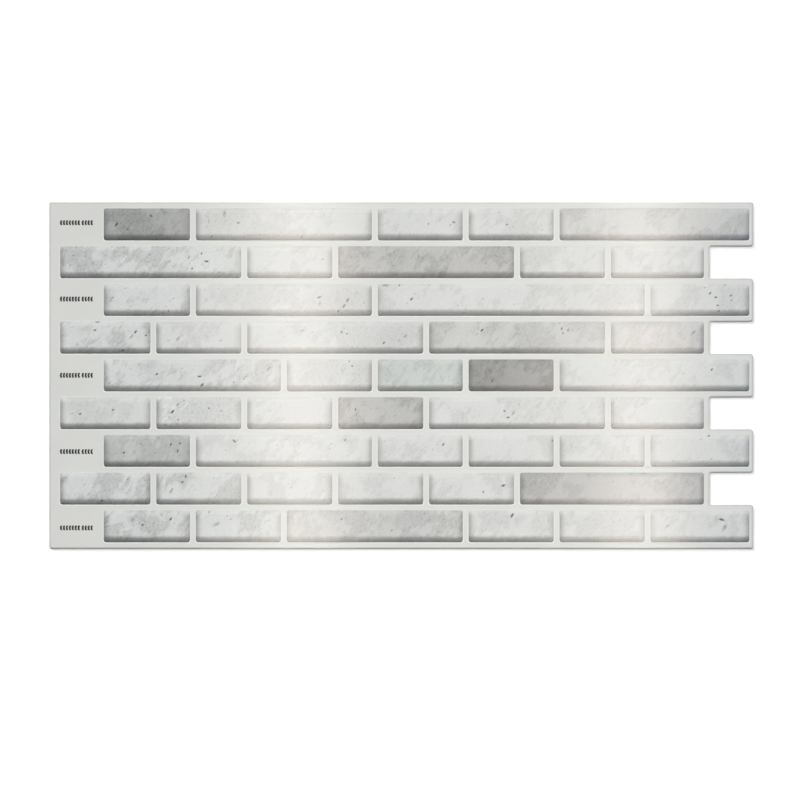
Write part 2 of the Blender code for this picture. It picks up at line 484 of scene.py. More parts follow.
stone, given, result = new_group(
    "stone_clouds",
    [("Vector", "NodeSocketVector")],
    ["Cloud", "Region", "Scratches", "Pores", "Mottle", "Grain", "Hairs"],
)
spot = given["Vector"]
sway = add(stone, "ShaderNodeTexNoise", {"Vector": spot, "Scale": 70.0, "Detail": 3.0})
push = {0: sway.outputs["Color"], 1: (SWAY, SWAY, SWAY), 2: spot}
bent = add(stone, "ShaderNodeVectorMath", push, operation="MULTIPLY_ADD").outputs[0]
turn = {"Vector": bent, "Rotation": (0.0, 0.0, -STREAK_SLANT)}
turned = add(stone, "ShaderNodeMapping", turn).outputs[0]
drawn = add(stone, "ShaderNodeMapping", {"Vector": turned, "Scale": (1.0, 2.4, 1.0)}).outputs[0]

# Where the stone is veined: broad clouds, broken into slanting drifts.
broad = noise(stone, spot, 34.0, 2.0, 0.5)
drift = noise(stone, drawn, 95.0, 3.0, 0.55)
region = span(stone, calc(stone, "ADD", broad, calc(stone, "MULTIPLY", drift, 0.6)), 0.75, 0.89)

# Pores: one drop in a share of the slanting cells, more of them inside the veins.
cells = add(stone, "ShaderNodeTexVoronoi", {"Vector": drawn, "Scale": 270.0})
chosen = add(stone, "ShaderNodeSeparateColor", {"Color": cells.outputs["Color"]}).outputs
kept = calc(stone, "GREATER_THAN", chosen["Red"], calc(stone, "MULTIPLY_ADD", region, -0.50, 0.96))
size = calc(stone, "MULTIPLY_ADD", chosen["Green"], 0.30, 0.18)
near = span(stone, calc(stone, "DIVIDE", cells.outputs["Distance"], size), 0.4, 1.0, 1.0, 0.0)

ridge = calc(stone, "ABSOLUTE", calc(stone, "SUBTRACT", noise(stone, drawn, 55.0, 3.0, 0.6), 0.5))
clouds = {
    "Cloud": noise(stone, bent, 26.0, 3.0, 0.5),
    "Region": region,
    "Scratches": span(stone, noise(stone, drawn, 300.0, 4.0, 0.7), 0.50, 0.66),
    "Pores": calc(stone, "MULTIPLY", kept, near),
    "Mottle": noise(stone, drawn, 330.0, 4.0, 0.65),
    "Grain": noise(stone, spot, 1000.0, 3.0, 0.7),
    "Hairs": span(stone, ridge, 0.0, 0.012, 1.0, 0.0),
}
put(stone, result, clouds)
print("group stone:", len(stone.nodes), "nodes")

# %% Material: stone print
STONE_ROUGHNESS = 0.23
STONE_LEVEL = 1.055
CLOUD_SWING, MOTTLE_SWING, HAIR_SWING, GRAIN_SWING = 0.22, 0.34, 0.04, 0.16
VEIN_DEPTH, SCRATCH_DEPTH, PORE_DEPTH = 0.13, 0.20, 0.20
PIT_COLOUR = (0.085, 0.083, 0.080, 1.0)
# Painted shade along the upper rim, and how much thinner the coat is there.
UPPER_PAINTED_SHADE, THIN_COAT = -0.18, -0.45

stone_print, tree, shader = new_material("stone_print")
place = add(tree, "ShaderNodeTexCoord").outputs["Object"]
known = {}
for label in ("tone", "veining", "shade", "pit", "stain", "shift", "ink", "thin"):
    known[label] = add(tree, "ShaderNodeAttribute", attribute_name=label).outputs
moved = {0: place, 1: known["shift"]["Vector"]}
cut = add(tree, "ShaderNodeVectorMath", moved, operation="ADD").outputs[0]
marble = use_group(tree, stone, {"Vector": cut})
surface = use_group(tree, skin, {"Vector": place, "Cell mm": SKIN_CELL})

# Clouds, mottle and grain lighten and darken the stone around its own colour.
veining = known["veining"]["Fac"]
swing = calc(tree, "MULTIPLY", calc(tree, "SUBTRACT", marble["Cloud"], 0.5), CLOUD_SWING)
mottle = calc(tree, "SUBTRACT", marble["Mottle"], 0.5)
swing = calc(tree, "MULTIPLY_ADD", mottle, MOTTLE_SWING, swing)
swing = calc(tree, "MULTIPLY_ADD", marble["Hairs"], HAIR_SWING, swing)
level = calc(tree, "MULTIPLY_ADD", swing, veining, STONE_LEVEL)
grain = calc(tree, "SUBTRACT", marble["Grain"], 0.5)
level = calc(tree, "MULTIPLY_ADD", grain, GRAIN_SWING, level)

# Veins and stains are faint themselves, and darkened by the scratches and pores in them.
veined = calc(tree, "MULTIPLY", marble["Region"], veining)
veined = calc(tree, "MAXIMUM", veined, known["stain"]["Fac"])
broken = calc(tree, "MULTIPLY_ADD", marble["Scratches"], SCRATCH_DEPTH, VEIN_DEPTH)
broken = calc(tree, "MULTIPLY_ADD", marble["Pores"], PORE_DEPTH, broken)
taken = calc(tree, "MULTIPLY", veined, broken)
level = calc(tree, "MULTIPLY", level, calc(tree, "SUBTRACT", 1.0, taken))

# The placed pits are small, dark and ragged.
ragged = calc(tree, "MULTIPLY_ADD", grain, 0.8, known["pit"]["Fac"])
pit_share = span(tree, ragged, 0.15, 0.75)

# Painted shade darkens the print towards the lower edge and the ends, and a little along
# the upper rim, where the coat is thinner too. The lip round the foot is left bare.
thin = known["thin"]["Fac"]
level = calc(tree, "MULTIPLY", level, known["shade"]["Fac"])
level = calc(tree, "MULTIPLY", level, calc(tree, "MULTIPLY_ADD", thin, UPPER_PAINTED_SHADE, 1.0))
colour = blend(tree, 1.0, known["tone"]["Color"], level, "MULTIPLY")
colour = blend(tree, pit_share, colour, PIT_COLOUR)
finished = blend(tree, known["ink"]["Fac"], known["tone"]["Color"], colour)

rough = calc(tree, "ADD", surface["Roughness"], STONE_ROUGHNESS)
rough = calc(tree, "MULTIPLY_ADD", pit_share, 0.25, rough)
coat = use_group(tree, sheen, {"Color": finished})["Weight"]
coat = calc(tree, "MULTIPLY", coat, calc(tree, "MULTIPLY_ADD", thin, THIN_COAT, 1.0))
relief = calc(tree, "MULTIPLY_ADD", pit_share, -1.2, surface["Height"])
bump = {"Height": relief, "Strength": 0.4, "Distance": 0.00005}
coat_vinyl(tree, shader, finished, rough, coat, bump)
print("stone print:", len(tree.nodes), "nodes")

# %% [markdown]
# ## The bricks' rims
#
# A brick's foot is a rounded rectangle. From there the rim climbs in a short upright toe,
# a straight slope and a round shoulder that runs out into the face. Shade painted on the
# print helps this relief along, as if the wall were always lit from above: its lower edge
# is shaded darkest, with a ragged inner border, the ends less, and the upper edge hardly at all.

# %% The rim's section and its shading
RIM_SLOPE = math.radians(31)
SHOULDER_RADIUS = 0.0055
TOE = 0.0003
SHOULDER_DROP = SHOULDER_RADIUS * (1 - math.cos(RIM_SLOPE))
SLOPE_RUN = (RISE - TOE - SHOULDER_DROP) / math.tan(RIM_SLOPE)
RIM_WIDTH = SLOPE_RUN + SHOULDER_RADIUS * math.sin(RIM_SLOPE)
# The painted shade's strengths, and how far from the foot each reaches.
SIDE_SHADE, SIDE_REACH = 0.42, 0.0068
SIDE_FADE = (0.0022, 0.0056)
BAND_SHADE, BAND_BORDER = 0.465, (0.0034, 0.0064)
FOOT_SHADE, FOOT_REACH = 0.29, 0.0016
print("rim width", round(1000 * RIM_WIDTH, 2), "mm")


def rim_height(inset):
    """Height above the ground at an inset from the foot: the straight slope, and then a
    circle of the shoulder's radius whose top is level with the face."""
    slope = TOE + inset * math.tan(RIM_SLOPE)
    from_top = np.clip(RIM_WIDTH - inset, 0, SHOULDER_RADIUS * math.sin(RIM_SLOPE))
    arc = RISE - SHOULDER_RADIUS + np.sqrt(SHOULDER_RADIUS**2 - from_top**2)
    return np.where(inset < SLOPE_RUN, slope, arc)


# Painted shade: the print is darkened towards the lower edge, the ends and the foot.
def painted_shade(from_side, from_top, from_bottom):
    """How much of the stone's colour the shading leaves, from the distances to the
    brick's nearer end, upper edge and lower edge. The ends' shade falls off with the
    power 1.5 and fades out towards the upper edge, where there is hardly any. The
    lower edge's is an even band with a soft border and a dark line along the foot."""
    fade = ease(from_top, *SIDE_FADE)
    sides = 1 - SIDE_SHADE * fade * np.clip(1 - from_side / SIDE_REACH, 0, 1) ** 1.5
    bottom = 1 - BAND_SHADE * (1 - ease(from_bottom, *BAND_BORDER))
    foot = 1 - FOOT_SHADE * (1 - ease(from_bottom, 0, FOOT_REACH))
    return sides * bottom * foot


# %% [markdown]
# ## Pits and stains
#
# Most of the stone's marks are left to the material, but those that catch the eye have a
# place of their own. Each is a slim drop with a soft edge, lying along its slant, and the
# face sinks a little under a pit. Rows give x from the sheet's left edge, y from its top
# edge and length, in millimetres, and the slant in degrees.

# %% The placed marks
DARK_PITS = (
    (58.5, 19.5, 4.5, 60), (68, 23.5, 1.8, 0), (88.5, 12, 3, -50), (164, 18, 2.6, 0),
    (141, 30, 1.8, 45), (284.5, 12, 1.6, 90), (328.5, 19, 1.2, 0), (350.5, 17.5, 3, -20),
    (396.5, 19.5, 2, 20), (124, 57.5, 1.8, 0), (132, 44.5, 2.4, 65), (136.5, 51.5, 4.2, 0),
    (103.5, 94.5, 1.3, 0), (234, 82.5, 4, 20),
    (258.5, 85, 4, 50), (255.5, 90, 4, 55), (250.5, 94.5, 3, 60), (303.5, 72, 1.6, 45),
    (314, 84, 3.6, 50), (572.5, 79, 3, 60), (577.5, 82.5, 3, 15), (590.5, 81, 2.5, 45),
    (579, 89.5, 2.2, 30), (580, 94.5, 2.6, 40), (42, 103.5, 4.5, 0), (40, 111, 3, 10),
    (75, 112.5, 3.8, 55), (84, 115.5, 2, 0), (64, 128.5, 3.4, 20), (258, 114, 2, 40),
    (253.5, 112.5, 2.5, 60), (290, 122, 3.2, 50), (375, 111, 3.6, 45), (444, 109.5, 3.2, 75),
    (445, 113.5, 2, 60), (449.5, 111, 2.4, 65), (93.5, 149, 3, 30), (130.5, 151, 4, 0),
    (132.5, 158.5, 4.6, 48), (169, 153, 1.8, 30), (160, 156, 1.6, 0), (260, 138, 1.6, 30),
    (262.5, 142, 2.2, -30), (384, 154.5, 2.8, 70), (574, 145, 3.2, 70), (27, 183.5, 2.8, 10),
    (55.5, 180, 2.2, 10), (107, 181.5, 4.6, 48), (112, 188.5, 1.5, 0), (138.5, 178.5, 2.2, -30),
    (265.5, 179.5, 2.6, 75), (394.5, 181, 3, -40), (397.5, 186.5, 3.2, 10), (65, 217, 2.8, 45),
    (105.5, 210, 3, 60), (113.5, 209, 2.2, 45), (111.5, 215.5, 3, 75), (160.5, 207, 4, -45),
    (256.5, 206, 2.8, 70), (341.5, 210, 3.2, 60), (436, 206.5, 1.8, 85), (571.5, 202.5, 2.6, 15),
    (46, 258.5, 3, 20), (118.5, 237.5, 3.4, 80), (115.5, 242.5, 3, 20), (376, 251, 1.8, 80),
    (393.5, 245.5, 4, 20), (105.5, 274.5, 3.6, 50), (81, 279.5, 2.8, 10), (138, 268.5, 1.4, 0),
    (253.5, 274.5, 2.4, 40), (401, 271.5, 4.4, 62), (582.5, 275, 4.8, -15),
)
FAINT_PITS = (
    (100.5, 10, 2, 20), (136.5, 12.5, 4, -60), (138.5, 17, 5, -75), (152, 10, 9, 88),
    (219, 30, 5, 45), (302.5, 19.5, 2.5, 20), (338.5, 16, 2.5, 40), (347.5, 20, 4, 45),
    (390, 8.5, 4, 50), (409.5, 7.5, 2.4, 20), (402, 21.5, 3, 0), (427, 24, 3, 20),
    (597.5, 12, 2.2, 45), (585, 22, 2.4, 80), (48.5, 54, 3, -20), (45.5, 51.5, 2.5, 30),
    (67.5, 45.5, 4, -40), (104, 51.5, 5, 45), (111, 39.5, 3, 20), (121, 48, 6, 70),
    (134.5, 51, 2, -60), (147, 61, 6, 25), (237, 49.5, 4, 20), (277, 57.5, 2, 20),
    (377, 53, 1.8, 0), (377, 60, 1.8, 0), (317, 58.5, 2, 60), (494.5, 56.5, 1.8, 40),
    (55, 83, 5, 30), (53.5, 85.5, 4, 20), (79, 79.5, 2.8, 70), (68.5, 93, 2, 60),
    (66.5, 74.5, 3.4, 15), (70.5, 90, 3.2, 60),
    (108, 83.5, 3, 50), (105, 86, 3, 45), (101, 90.5, 2, 60), (135, 76.5, 3, 60),
    (220, 87, 1.8, 30), (237, 81, 3, 50), (234.5, 88, 6, 80), (253.5, 96, 3, 20),
    (273, 87, 4, 65), (291, 72, 9, 0), (299, 75, 1.4, 0), (317, 79.5, 3, -50), (310, 88, 3, 45),
    (354, 89.5, 2, 20), (375.5, 83.5, 2, 0), (403, 88.5, 2.4, 10), (515.5, 77.5, 2, 85),
    (591, 85, 4, 70), (568, 74, 4, 20), (585.5, 72, 5, 5), (20, 108.5, 2.5, 30),
    (71.5, 116.5, 6, 50), (60, 122.5, 3.4, 45), (59, 124.5, 2, 50), (69, 112, 2, 50),
    (111.5, 118.5, 6, 50), (103.5, 120, 3, 20), (148.5, 120, 4, 25), (219, 111.5, 6, 25),
    (228, 112.5, 2.5, 30), (249.5, 116, 3, 20), (255.5, 109.5, 2.5, 45), (308.5, 116, 7, 42),
    (303, 120, 4, 42), (379, 109, 3, 50), (370.5, 114.5, 4, 40), (442, 105, 4, 20),
    (405, 114, 4, 42), (505, 120.5, 1.6, 40), (558, 113, 8, 45), (106.5, 142, 2.4, 50),
    (115.5, 144, 2, 60), (70.5, 144.5, 2.4, 40), (52.5, 157, 2.6, 40), (168.5, 155.5, 1.4, 0),
    (170.5, 151, 6, 20), (190.5, 144, 8, 45), (192.5, 140, 2.5, 40), (339, 151.5, 3, 10),
    (346, 151, 1.6, 0), (379, 151, 2.4, 40), (373, 156.5, 2, 40), (412, 144.5, 5, 50),
    (429.5, 155, 3, 50), (568.5, 143, 2, 60), (549.5, 148.5, 2.6, 15), (20, 183, 4, 20),
    (104, 186.5, 4, 55), (117, 172, 4, 25), (112, 175, 7, 50), (100, 179, 2.4, 20),
    (100.5, 193, 4, 20), (149, 181, 4, 35), (191.5, 181, 2.2, 0), (180.5, 184.5, 2, 40),
    (255.5, 171.5, 3, 30), (272.5, 181, 2.4, 50), (300, 185, 3, 55), (346, 178.5, 1.8, 0),
    (402, 183, 6, 55), (407, 175.5, 3, 30), (438.5, 174.5, 3, 55), (432.5, 191.5, 2, 80),
    (64.5, 220, 3, 55), (80, 209.5, 5, -30), (74, 216.5, 1.6, 0), (163, 206.5, 4, 50),
    (153, 214.5, 2.6, 10), (189.5, 209.5, 2.4, 70), (197.5, 210.5, 3, 50), (244.5, 209.5, 3, 55),
    (243, 213.5, 3, 55), (259, 215, 1.6, 0), (290.5, 207, 2.4, 60), (291.5, 211, 2, 10),
    (336.5, 210, 1.8, 0), (332, 214.5, 2, 50), (452, 210, 3.4, 50), (564.5, 205.5, 3.6, 25),
    (562, 221.5, 2.4, 40), (573.5, 222.5, 4, 50), (63, 242.5, 2.6, 40), (52, 244.5, 2, 40),
    (31, 244.5, 3.6, 50), (68, 240, 5, 52), (74.5, 235.5, 3, 60), (106, 241, 2, 0),
    (106, 250, 7, 60), (100.5, 247.5, 2, 30), (126.5, 249.5, 2.4, 20), (143, 239, 2.4, 20),
    (210.5, 244.5, 1.6, 0), (210, 247, 4, 25), (299, 239, 3, 30), (392, 253, 2, 20),
    (488.5, 242, 2.8, 85), (108.5, 278.5, 2.6, -50), (64.5, 282, 2.8, 35), (97.5, 271, 5, -40),
    (112.5, 269, 4.4, 60), (99, 277, 2, 20), (87.5, 285.5, 2.4, 50), (84.5, 282, 3, -40),
    (72.5, 275.5, 6, 50), (154.5, 272, 3, 10), (157.5, 274.5, 4, 25), (145, 279, 9, 28),
    (186, 271.5, 3, 50), (198, 266.5, 2, 40), (257, 273.5, 2, 30), (286, 287, 2.6, -50),
    (297, 284, 5, 45), (325, 269.5, 2.2, 10), (356, 285, 2, 60), (585, 276.5, 2, -30),
    (585, 282, 10, 62), (577, 273, 2, 65), (535.5, 280.5, 6, 50), (533.5, 283, 2.4, 20),
)
STAINS = (
    (86.5, 14.5, 12, 30), (598.5, 17, 18, 80), (49, 46.5, 12, 60), (27.5, 51.5, 10, 55),
    (18, 48, 9, 60), (305.5, 49, 18, 70), (368, 47.5, 9, 40), (32, 110, 10, 20), (253, 114, 9, 40),
    (379.5, 112.5, 9, 45), (402, 116, 12, 50), (87.5, 141, 14, 20), (136, 146, 12, 60),
    (254.5, 145.5, 12, 85), (347.5, 142.5, 9, 50), (370, 142, 9, 30), (305, 174.5, 9, 40),
    (596, 213, 10, 60), (112, 236.5, 12, 10), (417.5, 246.5, 10, 60), (253, 271, 10, 10),
    (286.5, 279.5, 8, 60), (302.5, 274.5, 12, 55), (405.5, 275.5, 10, 60), (150, 14, 60, 20),
    (256, 84, 60, 15), (302, 117, 62, 10), (268, 150, 34, 60), (578, 275, 12, 50),
    (51, 84, 16, 80),
)
PIT_SLIMNESS, STAIN_SLIMNESS = 0.42, 0.55  # width as a share of the length
LEAST_WIDTH = 1.4  # millimetres
FAINT_SHARE = 0.50  # how dark a faint pit is beside a dark one


def marks(x, y, rows, slimness):
    """The strongest of the rows' marks at each point. A mark is exp(-(2p / length)^2 -
    (2q / width)^2), with p and q measured along and across its slant."""
    strongest = np.zeros_like(x)
    for from_left, from_top, length, slant in rows:
        dx = 1000 * (x - LEFT) - from_left
        dy = 1000 * (y - TOP) + from_top
        if np.min(np.hypot(dx, dy)) > length:
            continue
        turn = math.radians(slant)
        along = (dx * math.cos(turn) + dy * math.sin(turn)) / (0.5 * length)
        width = max(slimness * length, LEAST_WIDTH)
        across = (dy * math.cos(turn) - dx * math.sin(turn)) / (0.5 * width)
        strongest = np.maximum(strongest, np.exp(-(along**2) - across**2))
    return strongest


print("marks:", len(DARK_PITS), len(FAINT_PITS), len(STAINS))

# %% [markdown]
# ## The grid of a brick
#
# The face of a brick is a plain grid. Its border is carried outwards as rings, each the
# same rectangle drawn further out with rounder corners, down the shoulder and the slope
# to the foot, out over a narrow lip and below the ground, where one face closes it.

# %% Face and rings of a brick
STEP = 0.0007  # about the size of a cell of the grid
ROOT = 0.0004  # how far a brick reaches below the ground
LIP_WIDTH = 0.0010
LIP_RISE = 0.00005

# Insets of the rings from the foot: root and lip outside it, then toe, slope and
# shoulder, up to the face's own border. The heights up to the toe are fixed.
slope = SLOPE_RUN * np.linspace(0, 1, 4)[1:]
shoulder = SLOPE_RUN + (RIM_WIDTH - SLOPE_RUN) * np.linspace(0, 1, 6)[1:-1]
RING_INSETS = np.array([-LIP_WIDTH, -LIP_WIDTH, 0, 0, 0, *slope, *shoulder])
FIXED_HEIGHTS = (-ROOT, LIP_RISE, LIP_RISE, 2 * LIP_RISE, TOE)
print("rings:", len(RING_INSETS))


def brick_points(half_x, half_y):
    """Local x, y and inset of the face's grid and of the rings around it, with the
    grid's index and its border's."""
    face_x, face_y = half_x - RIM_WIDTH, half_y - RIM_WIDTH
    nx, ny = round(2 * face_x / STEP), round(2 * face_y / STEP)
    u, v = np.meshgrid(np.linspace(-1, 1, nx + 1), np.linspace(-1, 1, ny + 1))
    index = np.arange(u.size).reshape(u.shape)
    border = np.concatenate([index[0, :-1], index[:-1, -1], index[-1, :0:-1], index[:0:-1, 0]])
    u, v = u.ravel(), v.ravel()
    face = round_corners(face_x * u, face_y * v, face_x, face_y, FACE_CORNER)
    insets = RING_INSETS[:, None]
    share = np.clip(insets / RIM_WIDTH, 0, 1)
    radius = BRICK_CORNER + share * (FACE_CORNER - BRICK_CORNER) - np.minimum(insets, 0)
    ring_x, ring_y = half_x - insets, half_y - insets
    rings = round_corners(ring_x * u[border], ring_y * v[border], ring_x, ring_y, radius)
    x = np.concatenate([face[0], rings[0].ravel()])
    y = np.concatenate([face[1], rings[1].ravel()])
    inset = np.concatenate([np.full(u.size, RIM_WIDTH), np.repeat(insets.ravel(), len(border))])
    return x, y, inset, index, border


def brick_faces(index, border):
    """Four-sided faces of the grid and between the rings, and the closing face."""
    grid = [index[:-1, :-1], index[:-1, 1:], index[1:, 1:], index[1:, :-1]]
    quads = [np.stack(grid, axis=-1).reshape(-1, 4)]
    count = len(border)
    i = np.arange(count)
    j = (i + 1) % count
    loops = [index.size + k * count + i for k in range(len(RING_INSETS))] + [border]
    quads += [np.c_[a[i], a[j], b[j], b[i]] for a, b in zip(loops, loops[1:])]
    return np.concatenate(quads), loops[0][::-1]


# %% [markdown]
# ## One brick
#
# The rim of a brick isn't perfectly even: a slow noise lets it wander, as the soft film
# did over the press, and the face sags by a few hundredths of a millimetre. The same
# noises roughen the border of the painted shade. The bare lip gets a painted highlight
# where the brick's slopes would throw light on it, most of all below. A seed of its own
# moves each brick to another place in the stone.

# %% Prints, and one brick
# The stone's own colour behind each letter of the bond, and how strongly it is clouded.
PRINTS = {
    "L": ((0.590, 0.602, 0.588), 0.60),
    "S": ((0.573, 0.589, 0.578), 1.10),
    "V": ((0.624, 0.640, 0.626), 0.90),
    "C": ((0.576, 0.597, 0.582), 1.20),
    "T": ((0.508, 0.537, 0.521), 0.80),
    "W": ((0.494, 0.495, 0.483), 0.70),
    "P": ((0.497, 0.505, 0.492), 0.90),
    "G": ((0.388, 0.394, 0.388), 1.00),
    "M": ((0.430, 0.433, 0.417), 1.10),
    "N": ((0.465, 0.480, 0.466), 0.80),
    "D": ((0.342, 0.352, 0.343), 1.20),
    "E": ((0.268, 0.274, 0.267), 1.20),
}

WANDER, WANDER_CELL = 0.04, 0.006
SAG, SAG_CELL = 0.00003, 0.011
PIT_DEPTH = 0.0001
FINE_TEETH, FINE_CELL = 0.0004, 0.0012
BROAD_TEETH, BROAD_CELL = 0.0003, 0.006
END_TEETH = 0.4  # how ragged the ends' shade is beside the lower edge's
LIP_RINGS = 3
LIP_COLOUR = (0.640, 0.650, 0.626)
# Painted highlight on the bare lip, beside the brick and stronger below it.
LIP_HIGHLIGHT, HIGHLIGHT_START = 0.08, (0.0010, 0.0060)
LIP_HIGHLIGHT_BELOW, LOWER_END = 0.22, (0.80, 1.0)
DARKEST_CONTRAST, CONTRAST_GAIN = 0.74, 0.43  # a dark stone is shaded a little less
# The band along the upper rim that gets painted shade and a thinner coat.
UPPER_RIM_BORDER = (0.0012, 0.0054)


def brick(left, right, lower, upper, letter, seed):
    """Points, faces, closing face and attributes of one brick."""
    half_x, half_y = (right - left) / 2, (upper - lower) / 2
    local_x, local_y, inset, index, border = brick_points(half_x, half_y)
    x, y = local_x + (right + left) / 2, local_y + (upper + lower) / 2

    wander = 1 + WANDER * smooth_noise(x, y, WANDER_CELL, seed)
    height = rim_height(np.clip(inset * wander, 0, RIM_WIDTH))
    fixed = np.repeat(FIXED_HEIGHTS, len(border))
    height[index.size : index.size + fixed.size] = fixed
    faint = FAINT_SHARE * marks(x, y, FAINT_PITS, PIT_SLIMNESS)
    pit = np.maximum(marks(x, y, DARK_PITS, PIT_SLIMNESS), faint)
    on_face = np.clip(inset / RIM_WIDTH, 0, 1)
    sag = SAG * (1 + smooth_noise(x, y, SAG_CELL, seed + 2)) + PIT_DEPTH * pit
    z = GROUND + height - on_face * sag

    teeth = FINE_TEETH * smooth_noise(x, y, FINE_CELL, seed + 3)
    teeth = teeth + BROAD_TEETH * smooth_noise(x, y, BROAD_CELL, seed + 4)
    colour, veining = PRINTS[letter]
    tone = np.tile([*colour, 1.0], (len(x), 1))
    lip = slice(index.size, index.size + LIP_RINGS * len(border))
    ink = np.ones(len(x))
    ink[lip] = 0
    # Painted highlight on the lip, where the slopes would throw light on it.
    beside = LIP_HIGHLIGHT * ease(half_y - local_y[lip], *HIGHLIGHT_START)
    below = LIP_HIGHLIGHT_BELOW * ease(-local_y[lip] / half_y, *LOWER_END)
    tone[lip, :3] = np.outer(1 + beside + below, LIP_COLOUR)
    from_side = half_x - np.abs(local_x)
    # Painted shade on the rims, its border roughened by the teeth.
    shade = painted_shade(from_side + END_TEETH * teeth, half_y - local_y, half_y + local_y + teeth)
    contrast = DARKEST_CONTRAST + CONTRAST_GAIN * colour[1]
    shift = np.random.default_rng(seed).uniform(-3, 3, 3)
    attributes = {
        "tone": tone,
        "veining": np.full(len(x), veining),
        "shade": 1 - contrast * (1 - shade),
        "ink": ink,
        # Painted shade and a thinner coat along the upper rim.
        "thin": 1 - ease(half_y - local_y, *UPPER_RIM_BORDER),
        "pit": pit,
        "stain": marks(x, y, STAINS, STAIN_SLIMNESS),
        "shift": np.tile(shift, (len(x), 1)),
    }
    quads, fan = brick_faces(index, border)
    return np.c_[x, y, z], quads, fan, attributes


# %% [markdown]
# ## Whole courses
#
# All the bricks of a course become one piece, so that a course can be picked by itself.
# Their arrays are laid end to end, and each brick's faces count on from the points before
# them.


# %% Pieces: the courses of bricks
def course_piece(course):
    """The bricks of a course, joined as arrays into one mesh."""
    lower, upper = course_span(course)
    points, quads, fans, attributes, start = [], [], [], [], 0
    for number, (left, right, letter) in enumerate(course_bricks(course)):
        made = brick(left, right, lower, upper, letter, 1000 * course + 10 * number)
        points.append(made[0])
        quads.append(made[1] + start)
        fans.append(made[2] + start)
        attributes.append(made[3])
        start += len(made[0])
    merged = {name: np.concatenate([a[name] for a in attributes]) for name in attributes[0]}
    points, quads = np.concatenate(points), np.concatenate(quads)
    return mesh_piece(f"course_{course + 1}_bricks", points, quads, fans, stone_print, merged)


courses = [course_piece(course) for course in range(len(COURSES))]
for piece in courses:
    piece.data.set_sharp_from_angle(angle=math.radians(50))
print("triangles:", [2 * len(piece.data.polygons) for piece in courses])

# %% [markdown]
# ## The lap marks
#
# Each tab carries a short printed sign that the next sheet's finger goes over it. Here it
# is a plain row of black arrowheads, pointing to the lapped side, in two runs. Each is a
# thin plate of ink on the ground.

# %% Material: black ink
INK, WORN_INK = (0.010, 0.010, 0.012, 1.0), (0.10, 0.10, 0.10, 1.0)

black_ink, tree, shader = new_material("black_ink")
place = add(tree, "ShaderNodeTexCoord").outputs["Object"]
dots = noise(tree, place, 1400.0, 3.0, 0.7)
worn = span(tree, dots, 0.45, 0.8, 0.0, 0.35)
colour = blend(tree, worn, INK, WORN_INK)
rough = span(tree, dots, 0.3, 0.7, 0.42, 0.55)
put(tree, shader.inputs, {"Base Color": colour, "Roughness": rough})

# %% Pieces: lap marks
MARK_LENGTH = 0.0290
MARK_HEIGHT = 0.0041
MARK_RUNS = (7, 4)
RUN_GAP = 0.0010
HEAD_GAP = 0.0003
STROKE = 0.0017
INK_LOW, INK_HIGH = -0.0001, 0.00002


def arrowhead(width):
    """Corners of one chevron that points left, anticlockwise from its outer tip."""
    tall = MARK_HEIGHT / 2
    outer = [(0, 0), (width - STROKE, -tall), (width, -tall)]
    inner = [(STROKE, 0), (width, tall), (width - STROKE, tall)]
    return np.array([*outer, *inner])


def lap_mark(name, x, y):
    """Two runs of arrowheads, centred on a point, each raised as a flat plate."""
    pitch = (MARK_LENGTH - RUN_GAP) / sum(MARK_RUNS)
    head = arrowhead(pitch - HEAD_GAP)
    starts = np.arange(sum(MARK_RUNS)) * pitch
    starts[MARK_RUNS[0] :] += RUN_GAP
    count = len(head)
    i = np.arange(count)
    j = (i + 1) % count
    points, quads, fans = [], [], []
    for k, start in enumerate(starts):
        corners = head + (x - MARK_LENGTH / 2 + start, y)
        points += [np.c_[corners, np.full(count, GROUND + z)] for z in (INK_LOW, INK_HIGH)]
        quads.append(np.c_[i, j, j + count, i + count] + 2 * count * k)
        fans += [i[::-1] + 2 * count * k, i + count + 2 * count * k]
    points, quads = np.concatenate(points), np.concatenate(quads)
    return mesh_piece(name, points, quads, fans, black_ink, smooth=False)


MARK_SPREAD = 1.011  # the signs are spaced a little wider than the courses
lap_marks = []
for mount in tab_mounts:
    x, y, z = mount["pos_m"]
    lap_marks.append(lap_mark(mount["name"].replace("overlap_tab", "lap_mark"), x, MARK_SPREAD * y))

# %% [markdown]
# ## Seat the pieces on the model
#
# Blank and bricks stand for the one CAD node, which stays behind, hidden. The marks
# only ride on it.

# %% Ride and replace
for piece in [blank, *courses]:
    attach(piece, "root")
    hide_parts(SHEET_NODE)
for piece in lap_marks:
    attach(piece, "root")

# %% [markdown]
# ## Floor
#
# The sheet lies on a floor of mid grey, which gets twice the sheet's light. So it comes
# out white to the camera and still keeps the shadow beside the sheet's edge. From below
# it can be seen through, and it lets the lamp that lights the back pass.

# %% Floor
FLOOR_SIZE, FLOOR_DROP = 8.0, 0.0001
FLOOR_LIT, FLOOR_SEEN = (0.5, 0.5, 0.5, 1.0), (0.505, 0.505, 0.505, 1.0)


def seen_rays(tree):
    """1 for rays that show things, straight or in a shine, and 0 for rays of light."""
    rays = add(tree, "ShaderNodeLightPath").outputs
    seen = calc(tree, "MAXIMUM", rays["Is Camera Ray"], rays["Is Glossy Ray"])
    return calc(tree, "MAXIMUM", seen, rays["Is Transmission Ray"])


